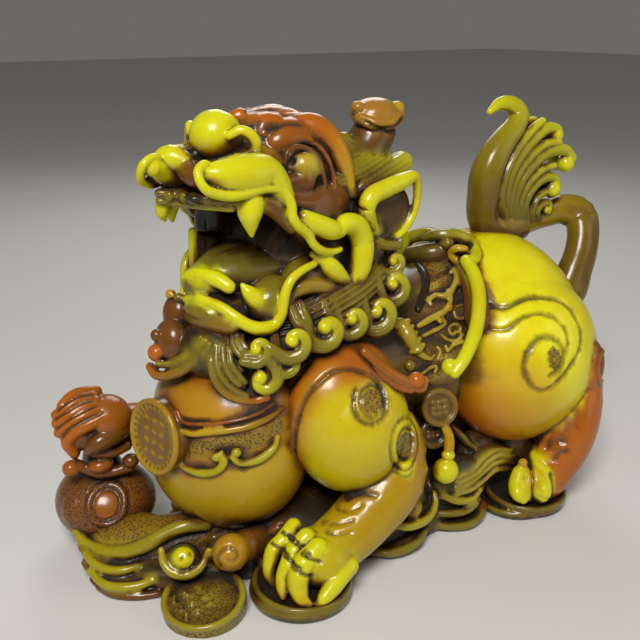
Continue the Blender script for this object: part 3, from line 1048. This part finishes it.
# cloth: a bat, beads, swirls, waves and a ribbed shell in low relief
cloth_relief = [
    [
        [39.2, -15.9, 77.4, 1], [42.2, -14.3, 77.6, 1.1], [41.4, -16.8, 76, 1.3], [37, -20.1, 73.6, 1.6],
        [32.9, -20.9, 72, 1.6], [29.9, -19.6, 72.5, 1.2], [27.1, -20.1, 71.5, 1.1], [26.7, -21.6, 70.4, 0.9],
    ],
    [
        [35.1, -19.9, 73.1, 1.2], [33.7, -22.5, 71, 1.3], [30.2, -24.2, 68.9, 1.4], [26.5, -24.6, 67.9, 1.5],
        [22.4, -24.6, 67, 1.4], [19.1, -24.7, 66, 1.1],
    ],
    [
        [19.3, -26.4, 63.4, 0.9], [22.7, -26.8, 64.2, 1], [26, -27, 65.1, 1], [28, -26.8, 66.3, 0.9],
        [27.7, -25.7, 67.2, 0.8],
    ],
    [
        [32.7, -25.5, 68.4, 0.8], [32.3, -27.2, 67, 0.8], [34.6, -27.8, 66.7, 0.9], [36.7, -27, 68.2, 0.9],
        [36.8, -25.2, 69.6, 0.8], [34.5, -24.8, 69.5, 0.8],
    ],
    [
        [32.6, -28.6, 62.6, 0.7], [33.3, -28.2, 64.4, 0.7], [30.8, -27.7, 65.2, 0.7],
        [28.8, -27.8, 63.9, 0.7], [29.9, -28.3, 62.4, 0.7], [31.5, -28.3, 63.1, 0.7],
    ],
    [[26, -27.7, 62.8, 0.7], [28.1, -28.4, 61.1, 0.7], [31.3, -29, 60.4, 0.8], [33.8, -29, 61.8, 0.7]],
    [[26.9, -28.8, 59.4, 0.7], [27.1, -29.2, 57.8, 0.7], [29.7, -29.1, 59.1, 0.8], [33.5, -29.5, 59.7, 0.7]],
    [[17.5, -29.3, 52.5, 0.7], [20.3, -29.4, 53.9, 0.8], [22.8, -29.7, 54, 0.7], [21.9, -30, 52.3, 0.7]],
    [[23, -29.4, 60, 0.7], [24.6, -29, 58.2, 0.7], [23.4, -29.4, 56, 0.7]],
]
for stops in cloth_relief:
    low = [[x, y, z, 0.8 * r] for x, y, z, r in laid(stops, body, 0.2)]
    harness_forms.append(roll(low, relief_gold))
shell_gold = (0.34, 0.26, 0.02)
harness_forms += [
    bead((31.8, -24, 69.6), 1.5, gold),
    bead((26.7, -26, 66.8), 1, gold),
    bead((13.7, -27.8, 55.6), 1.9, olive),
    roll([
        [35, -5.1, 78.5, 1.2], [32.1, -12, 77.2, 1.4], [29.3, -15.8, 75, 1.4], [25.7, -18.4, 72.3, 1.3],
        [22.3, -20.7, 69.8, 1.1],
    ], soot),
    roll([
        [14.9, -21.6, 66.7, 2.2], [15.3, -24.9, 63.9, 2.4], [16.5, -26, 60.7, 2.1], [18.5, -27.4, 57.8, 1.3],
        [21.4, -28.6, 56.4, 0.8], [22.6, -28.8, 57.4, 0.6],
    ], shell_gold),
]
for step in range(5):
    share = step / 4
    x, y, z = 14.4 + 2.4 * share, -22.4 - 4.4 * share, 67 - 7 * share
    rib = [[x - 1.8, y + 0.4, z - 0.8, 0.8], [x + 0.2, y - 1.4, z, 0.9], [x + 2.4, y - 0.6, z + 1, 0.8]]
    harness_forms.append(roll(rib, shell_gold))
harness = fuse("harness", harness_forms, grain=0.32, most_triangles=125_000, softening=1)
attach(harness, "root")

# Tail: a bare stalk that loops up from the rump and opens into a plume of combed, hooked locks. It is cast
# with the beast, and its foot and its plume both stand on the rump.
tail_face = (-0.3, -1, 0.1)
dull_gold = (0.15, 0.095, 0.006)
tail_forms = [
    roll([
        [86, -16, 57, 8.6], [93.6, -17.6, 63, 7.6], [97.2, -17.4, 69.6, 6.6], [100, -17, 76, 6.2],
        [102.6, -15, 83, 6.2], [103, -12.4, 88, 6.2], [98, -8.6, 90, 5.4], [92.7, -6.4, 88.6, 4.6],
        [86.8, -5.4, 87.6, 4.6], [79.2, -5, 86.8, 5.6], [71.8, -5, 86.4, 6.6],
    ], dull_gold, flat=0.86, facing=(0, -1, 0), tip=gold),
    roll([
        [67, -4, 84, 5], [62.4, -4.6, 92, 5], [61.4, -6, 99, 5.4], [61, -7, 105, 5.4], [63.4, -7.4, 111, 5],
        [68, -7.4, 116.4, 4.2], [73.2, -7, 120.7, 3.6], [75.4, -6, 124.4, 3.5], [72.8, -5, 127.3, 2.9],
        [68.5, -4, 127.7, 2.2], [64.1, -4, 125.5, 1.1],
    ], dull_gold, facing=tail_face, tip=lemon, strands=6, relief=0.05),
    swell((76, -6, 100), (13, 3.4, 15), umber, (0, 25, 0)),
    roll([[78, -5, 86, 6], [70, -4.4, 86, 6.4], [65.6, -4.4, 89.6, 4.2]], dull_gold),
]
plume = [
    [
        [68, -7, 89, 0.9], [64, -8.4, 97, 0.9], [62.8, -9, 104, 1], [65.2, -9.4, 111, 1], [69.8, -9, 116, 1],
        [75.7, -8, 121, 1], [78.8, -7, 123.6, 0.9],
    ],
    [
        [71, -8, 89.5, 1.5], [66.4, -9.4, 97.7, 1.6], [67, -10, 105, 1.6], [72, -9.5, 113, 1.6],
        [79, -9, 119, 1.6], [85, -8, 121.6, 1.3],
    ],
    [
        [73.4, -8, 89.5, 1.6], [68.9, -9.5, 97.7, 1.6], [70, -10, 105.4, 1.7], [75.4, -9.5, 112.2, 1.8],
        [82, -9, 117, 1.9], [88.6, -8, 119, 2], [92.6, -7.5, 118, 2.2],
    ],
    [
        [75.2, -8.4, 89, 1.4], [70.8, -10, 97, 1.4], [72.4, -10.4, 104.6, 1.5], [78.6, -10, 110.6, 1.5],
        [86, -9.4, 114, 1.5], [93, -9, 114, 1.2],
    ],
    [
        [76.7, -8.5, 88.7, 1.5], [72.6, -10, 96.5, 1.6], [75, -10.5, 103.5, 1.7], [82.1, -10, 109, 1.8],
        [90.4, -9, 111.4, 1.9], [97, -8.5, 110.8, 2], [100.8, -8, 108, 2.1],
    ],
    [
        [78.4, -8.8, 88.8, 1.2], [74.8, -10.4, 95.8, 1.3], [77.6, -10.6, 101.6, 1.4],
        [84, -10.2, 105.6, 1.5], [90.6, -9.6, 106.4, 1.2],
    ],
    [
        [79.9, -9, 88.9, 1.4], [77, -10.5, 95, 1.5], [80.1, -10.5, 99.8, 1.6], [85.9, -10, 102.6, 1.7],
        [91.4, -9.5, 101.8, 1.7], [94, -9, 99.2, 1.6],
    ],
    [
        [82.4, -9, 88.2, 1.2], [80.6, -10.6, 92.6, 1.3], [82.6, -10.6, 96.4, 1.4], [87.4, -10, 97.6, 1.3],
        [90, -9.6, 96, 1],
    ],
    [
        [85.6, -9, 88.2, 1.3], [82.9, -10.5, 91.6, 1.4], [85.2, -10.5, 93.8, 1.4], [89.2, -10, 93.2, 1.3],
        [89.3, -10, 90.6, 1.2],
    ],
]
plume_beads = [
    (92.2, -7.5, 116.4, 2.9), (98.1, -8, 106.2, 3.2), (90.7, -9.5, 98.2, 3.1), (87.6, -10, 91.4, 1.4),
]
for side in (1, -1):
    for lock in plume if side == 1 else plume[1::2]:
        mirrored = [[x, -6 + side * (y + 6), z, r] for x, y, z, r in lock]
        tail_forms.append(roll(mirrored, olive, facing=tail_face, strands=4, relief=0.2, tip=lemon))
    for x, y, z, r in plume_beads:
        tail_forms.append(bead((x, -6 + side * (y + 6), z), r, lemon))
tail = fuse("tail", tail_forms, grain=0.34, most_triangles=85_000, softening=1)
stalk_hollow = [(98, -18, 66), (101, -19, 74), (104, -18, 82), (104, -14, 88), (98, -11, 91)]
engrave(tail, stalk_hollow, 2.4, 0.5, (-0.5, -1, 0.2), dirt=0.3)
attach(tail, "root")

# Bed: layered clouds, shells, coins, an ingot and a snail curl that the beast is cast on. Its underside is
# ground flat.
moss = (0.34, 0.29, 0.008)
bed_forms = [
    swell((8, -5.5, 3), (64, 31.5, 21), soot),
    roll([[-64, 26, 8, 8], [-68, 10, 8, 9], [-60, -4, 9, 9], [-45, -10, 11, 8]], stippled_gold, flat=0.74),
    roll([[-66, 14, 4, 6], [-70, 2, 4, 6], [-64, -10, 4, 7], [-52, -18, 4, 8]], soot, flat=0.7),
]


def cloud(rim, tint, inward=(3.2, 3.6)):
    """A cloud or shell leaf: a rounded rim, and the leaf that runs back from it under the beast."""
    back = [[x + inward[0], y + inward[1], z, 4.4] for x, y, z, _ in rim]
    return [roll(rim, tint), roll(back, umber, flat=0.34)]


bed_forms += [roll([
    [-79.1, 12, 10.4, 1.6], [-77.9, 7, 8, 1.9], [-74.9, 0, 7.9, 2.1], [-71.1, -6, 9.9, 2.1],
    [-66.5, -10, 12.8, 2.1], [-60.7, -12, 15.6, 2.1], [-55.3, -14, 17.2, 2.1], [-50, -16, 16.6, 1.6],
], moss, tip=olive)]
bed_forms += cloud([
    [-79.8, 3, 7.6, 1.1], [-79.4, -2, 7, 1.2], [-77, -6.4, 6.4, 1.3], [-73.4, -9.4, 6.6, 1.3],
    [-69.6, -10.6, 7.4, 1],
], moss)
bed_forms += cloud([
    [-80.6, -2, 4.8, 1.1], [-79, -8.8, 3.8, 1.3], [-75.4, -12.6, 3.6, 1.4], [-70.6, -14.9, 3.9, 1.3],
    [-65.7, -15.6, 4.8, 1.1],
], moss)
bed_forms += cloud([
    [-79.8, -5.4, 1.4, 1], [-77.6, -10.8, 1.2, 1.1], [-72.5, -15.5, 1.2, 1.1], [-66.9, -18, 1.4, 1],
], umber)
bed_forms += [
    roll([
        [-65.5, -18.5, 15.5, 0.9], [-65.8, -20.3, 12.4, 1.1], [-64.4, -22.9, 10.1, 1.4],
        [-61.4, -25, 9.5, 1.5], [-57.9, -25.6, 10.4, 1.4], [-55.2, -25.1, 12.9, 1.1],
        [-54.2, -25.1, 14.8, 0.8],
    ], moss),
    swell((-60, -19.6, 11), (5.6, 5, 4.4), soot),
    swell((-61, -23, 13.8), (3.1, 3.1, 2.9), lemon),
]
loose_rim = (0.28, 0.23, 0.012)
bed_forms += coin((-59.4, -31.2, 5.2), (-0.15, -0.12, 1), 11.6, 5.4, stippled_olive, loose_rim, strokes=5)
for at, facing, radius, thickness, tint in (
    ((-32.5, -38.8, 4.6), (0, -0.05, 1), 14, 3, umber), ((-32.5, -38.4, 2.4), (0, 0, 1), 14.6, 2.4, soot),
    ((57.6, -37.6, 4.8), (0, -0.05, 1), 13.8, 3, umber), ((54, -36.4, 2.2), (0, 0, 1), 12.6, 2.2, soot),
):
    bed_forms += coin(at, facing, radius, thickness, tint, olive, strokes=0)
# the snail-shaped curl beside the paw
bed_forms += [
    roll([[-38, -25, 12, 4.6], [-44, -27, 13.6, 4.6]], umber),
    swell(
        (-49, -28.4, 14), (5.5, 4.8, 5.5), (0.27, 0.135, 0.008), other=(0.40, 0.22, 0.008),
        way=(-0.3, -0.6, 0.4),
    ),
]
bed_forms += cloud([
    [18.5, -36, 14.6, 1], [17.4, -38, 11.9, 1.1], [13.2, -40, 9.8, 1.4], [7.4, -41, 9.7, 1.5],
    [2.9, -41, 10.6, 1.4], [0.2, -40, 12.1, 1.2],
], moss, inward=(-0.6, 4))
bed_forms += [swell((7.8, -37, 13.4), (4.2, 3.8, 3.9), gold), swell((9, -33, 13), (9, 5, 7), soot)]
bed_forms += cloud([
    [12.1, -39.5, 5, 1], [8.1, -41.4, 3.6, 1.2], [2.4, -41.2, 2.6, 1.4], [-2.6, -39.6, 2.5, 1.3],
    [-4.4, -37.6, 3, 1.1],
], olive, inward=(0, 4))
bed_forms += cloud([
    [34.2, -31, 27.9, 0.8], [38.4, -31.4, 23, 1], [43.7, -31.6, 20.4, 1.1], [48.9, -31.4, 19.9, 1],
    [51.1, -31, 21.7, 0.8],
], olive, inward=(0.4, 3.6))
bed_forms += cloud([
    [21.2, -35, 15, 1.1], [22.2, -37, 12.9, 1.2], [26.8, -38, 10, 1.4], [32.9, -38, 8.7, 1.3],
    [37.6, -37, 10.2, 1],
], moss, inward=(0.2, 4))
bed_forms += cloud([
    [20.2, -35, 6.2, 1.1], [24.6, -38, 6, 1.2], [29.7, -39.3, 6, 1.2], [34.4, -38.9, 6.9, 1],
], olive, inward=(0, 4))
bed_forms += cloud([
    [20.3, -36, 2.3, 1.2], [24.3, -38.8, 1.9, 1.3], [29.3, -41, 1.9, 1.3], [34.6, -40.2, 2.1, 1.2],
    [37.5, -39, 3, 0.9],
], olive, inward=(0, 4))
bed_forms += [
    swell((30, -33, 14), (11, 5, 9), soot), swell((44, -28, 20), (9, 5, 7), soot),
    swell((60, -31, 19), (9, 6, 11), soot),
]
# a ribbon of four cords between the bell and the hind paw
ribbon = [
    [
        [27, -37.4, 18.1, 0.8], [34.6, -36.4, 18.3, 0.9], [39.9, -35.4, 20.4, 1], [45.4, -34.9, 21.2, 1],
        [52.5, -34.4, 19, 1.1],
    ],
    [
        [26.4, -37.9, 16.2, 0.8], [34.9, -36.9, 16.1, 0.8], [40.7, -35.9, 18.1, 0.9], [46.2, -35.4, 19, 0.9],
        [53.7, -34.9, 16.4, 1.1],
    ],
    [
        [25.6, -38.3, 14.6, 0.8], [32.3, -37.3, 14, 0.8], [38.8, -36.4, 15.6, 0.9], [44.2, -35.9, 16.9, 0.9],
        [48.8, -35.4, 16.3, 1], [53.8, -35.2, 14.3, 1],
    ],
    [
        [25.8, -38.4, 13, 0.8], [33.1, -37.8, 11.9, 0.8], [39.3, -36.8, 13, 0.8], [44.5, -36.3, 14.6, 0.8],
        [48.5, -35.8, 13.8, 1], [52.8, -35.6, 12.4, 1],
    ],
]
bed_forms += [roll(cord, (0.34, 0.28, 0.02)) for cord in ribbon]
bed_forms += [roll([[x, y + 2, z, 1.8] for x, y, z, _ in cord], bark) for cord in ribbon]
# the far side is plainer: shells in two rows round the edge, and one coin
for row, (z, reach, shift) in enumerate(((3, 10, 0), (10, 8.6, -1))):
    for turn in range(36 + 9 * row, 165, 18):
        out = math.radians(turn)
        x, y = 8 + (55 + shift) * math.cos(out), -3 + (23 + shift) * math.sin(out)
        rim = []
        for step in range(-2, 3):
            angle = out + math.radians(32 * step)
            x_rim, y_rim = x + reach * math.cos(angle), y + reach * math.sin(angle)
            rim.append([x_rim, y_rim, z + 0.7 * step**2, 1.4 - 0.15 * abs(step)])
        inward = (-4 * math.cos(out), -4 * math.sin(out))
        bed_forms += cloud(rim, moss if turn % 4 else olive, inward=inward)
bed_forms += coin((57, 29.6, 4.6), (0, 0.05, 1), 13.4, 4, umber, olive, strokes=0)
bed = fuse("bed", bed_forms, grain=0.42, most_triangles=115_000, softening=2)
snail = []
for k in range(2, 12):
    turn, reach = 0.75 * k + 2, 0.36 * k
    snail.append((-50.6 + reach * math.cos(turn), -30, 14.6 + reach * math.sin(turn)))
engrave(bed, snail, 0.45, 0.6, (-0.3, -1, 0.3), dirt=0.7)
# cells of shallow strokes on the loose coin
for row in range(4):
    for column in range(5):
        cell = Vector((-65.6 + 2.7 * row, -36 + 2.7 * column, 6))
        engrave(bed, [cell, cell + Vector((0.7, 0.3, 0))], 0.6, 0.35, (0, 0, 1), dirt=0.6)
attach(bed, "root")

# Dirt: dark patina was brushed on and wiped off, so it stays in the carving and under the beast. How deep
# each spot lies is measured from the shape itself, and rays find what its neighbours close in.
pieces = [body, forelegs, head, mane, harness, tail, bed]


def hollows(piece, rounds, depth):
    """From 0 on open surfaces to 1 where the surface lies that deep under its own evened-out shape."""
    spots = read_spots(piece.data)
    raised = evened(spots, read_edges(piece.data), rounds) - spots
    return np.clip((raised * read_normals(piece.data)).sum(1) / depth, -1, 1)


corners = []
walls = []
for piece in pieces:
    base = len(corners)
    corners += [vertex.co[:] for vertex in piece.data.vertices]
    walls += [tuple(base + v for v in face.vertices) for face in piece.data.polygons]
solid = BVHTree.FromPolygons(corners, walls)
golden = math.pi * (3 - math.sqrt(5))
rays = 14
fan = []
for k in range(rays):
    spread = math.sqrt((k + 0.5) / rays)
    fan.append((spread * math.cos(k * golden), spread * math.sin(k * golden), math.sqrt(1 - spread**2)))
shelter_reach = 9.0
stride = 8
for piece in pieces:
    mesh = piece.data
    spots, normals = read_spots(mesh), read_normals(mesh)
    sampled = np.zeros((len(spots), 2))
    for i in range(0, len(spots), stride):
        normal = Vector(normals[i])
        side = normal.orthogonal().normalized()
        fore = normal.cross(side)
        start = Vector(spots[i]) + normal * 0.25
        closed = 0.0
        for x, y, z in fan:
            hit = solid.ray_cast(start, side * x + fore * y + normal * z, shelter_reach)
            if hit[3] is not None:
                closed += 1 - hit[3] / shelter_reach
        sampled[i] = closed / rays, 1.0
    edges = read_edges(mesh)
    spread = evened(sampled, edges, 14)
    shelter = spread[:, 0] / np.maximum(spread[:, 1], 1e-6)
    fine = np.clip(hollows(piece, 4, 0.14), 0, 1)
    broad = np.clip(hollows(piece, 26, 0.7), 0, 1)
    closed_in = np.clip(shelter * 1.9 - 0.2, 0, 1)
    deep = fine * 0.45 + broad * 0.5 + closed_in * 0.9
    deep = np.maximum(deep, read_mark(piece, "dirt"))
    deep = evened(np.clip(deep, 0, 1)[:, None], edges, 2)[:, 0]
    put_mark(piece, "dirt", deep)
    put_mark(piece, "sheltered", np.clip(shelter * 2.4, 0, 1))

# Resin: waxy and a little see-through, cloudy in its colour, with stippled grounds, specks and a thin gloss.
# Its tint, dirt and stipple come from the carving, and its grain from the place on the piece.
resin = bpy.data.materials.new("waxed resin")
resin.use_nodes = True
nodes, links = resin.node_tree.nodes, resin.node_tree.links
shader = nodes["Principled BSDF"]
shader.inputs["Subsurface Weight"].default_value = 0.22
shader.inputs["Subsurface Radius"].default_value = (1.0, 0.75, 0.12)
shader.inputs["Subsurface Scale"].default_value = 0.003
shader.inputs["IOR"].default_value = 1.45
shader.inputs["Specular IOR Level"].default_value = 0.36
shader.inputs["Coat Weight"].default_value = 0.24
shader.inputs["Coat Roughness"].default_value = 0.12


def node(kind, **values):
    made = nodes.new(kind)
    for key, value in values.items():
        if key in made.inputs:
            made.inputs[key].default_value = value
        else:
            setattr(made, key, value)
    return made


place = node("ShaderNodeTexCoord")
tint = node("ShaderNodeAttribute", attribute_name="tint")
dirt = node("ShaderNodeAttribute", attribute_name="dirt")
stipple = node("ShaderNodeAttribute", attribute_name="stipple")
sheltered = node("ShaderNodeAttribute", attribute_name="sheltered")
cloud_noise = node("ShaderNodeTexNoise", Scale=45.0, Detail=4.0, Roughness=0.6)
speck = node("ShaderNodeTexNoise", Scale=900.0, Detail=3.0, Roughness=0.7)
grime = node("ShaderNodeTexNoise", Scale=260.0, Detail=5.0, Roughness=0.7)
pebble = node("ShaderNodeTexVoronoi", Scale=1400.0)
for texture in (cloud_noise, speck, grime, pebble):
    links.new(place.outputs["Object"], texture.inputs["Vector"])


def maths(operation, a, b):
    made = nodes.new("ShaderNodeMath")
    made.operation = operation
    for socket, value in zip(made.inputs, (a, b)):
        if isinstance(value, (int, float)):
            socket.default_value = value
        else:
            links.new(value, socket)
    return made.outputs[0]


def ramp(value, start, end):
    made = nodes.new("ShaderNodeMapRange")
    made.interpolation_type = "SMOOTHSTEP"
    links.new(value, made.inputs["Value"])
    made.inputs["From Min"].default_value = start
    made.inputs["From Max"].default_value = end
    return made.outputs["Result"]


def blend(factor, a, b, mode):
    made = nodes.new("ShaderNodeMix")
    made.data_type = "RGBA"
    made.blend_type = mode
    links.new(factor, made.inputs["Factor"])
    links.new(a, made.inputs[6])
    made.inputs[7].default_value = (*b, 1)
    return made.outputs[2]


grimy = maths(
    "ADD", dirt.outputs["Fac"], maths("MULTIPLY", maths("SUBTRACT", grime.outputs["Fac"], 0.5), 0.62),
)
stained = ramp(grimy, 0.10, 0.46)
blackened = ramp(grimy, 0.36, 0.78)
cloudy = ramp(cloud_noise.outputs["Fac"], 0.35, 0.7)
specked = ramp(maths("ADD", speck.outputs["Fac"], maths("MULTIPLY", dirt.outputs["Fac"], 0.12)), 0.69, 0.74)
pits = maths(
    "MULTIPLY", ramp(pebble.outputs["Distance"], 0.52, 0.26), ramp(stipple.outputs["Fac"], 0.3, 0.7),
)
browned = ramp(sheltered.outputs["Fac"], 0.12, 0.85)
honey, tea = (0.62, 0.34, 0.05), (0.52, 0.25, 0.10)
brown_dirt, black_dirt = (0.095, 0.042, 0.010), (0.010, 0.0075, 0.006)
speck_brown, pit_brown = (0.02, 0.014, 0.008), (0.018, 0.010, 0.006)
colour = tint.outputs["Color"]
for where, strength, stain, mode in (
    (cloudy, 0.3, honey, "MULTIPLY"), (browned, 0.85, tea, "MULTIPLY"), (stained, 0.7, brown_dirt, "MIX"),
    (blackened, 0.92, black_dirt, "MIX"), (specked, 0.6, speck_brown, "MIX"), (pits, 0.75, pit_brown, "MIX"),
):
    colour = blend(maths("MULTIPLY", where, strength), colour, stain, mode)
links.new(colour, shader.inputs["Base Color"])
rough = maths("ADD", maths("MULTIPLY", blackened, 0.25), 0.2)
rough = maths("ADD", rough, maths("MULTIPLY", grime.outputs["Fac"], 0.12))
links.new(rough, shader.inputs["Roughness"])
bump = node("ShaderNodeBump", Strength=0.4, Distance=0.0002)
grain = maths("SUBTRACT", grime.outputs["Fac"], maths("MULTIPLY", specked, 0.8))
grain = maths("SUBTRACT", grain, maths("MULTIPLY", pits, 1.6))
links.new(grain, bump.inputs["Height"])
links.new(bump.outputs["Normal"], shader.inputs["Normal"])

# Each piece is moved from the carving's millimetres to its place in the frame, and takes the casting's place.
for piece in pieces:
    piece.data.materials.clear()
    piece.data.materials.append(resin)
    spots = (read_spots(piece.data) + np.array(home)) * millimetre
    spots[:, 2] = np.maximum(spots[:, 2], 0.0)
    put_spots(piece.data, spots)
    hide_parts("pixiu")

print("triangles", {piece.name: sum(len(f.vertices) - 2 for f in piece.data.polygons) for piece in pieces})
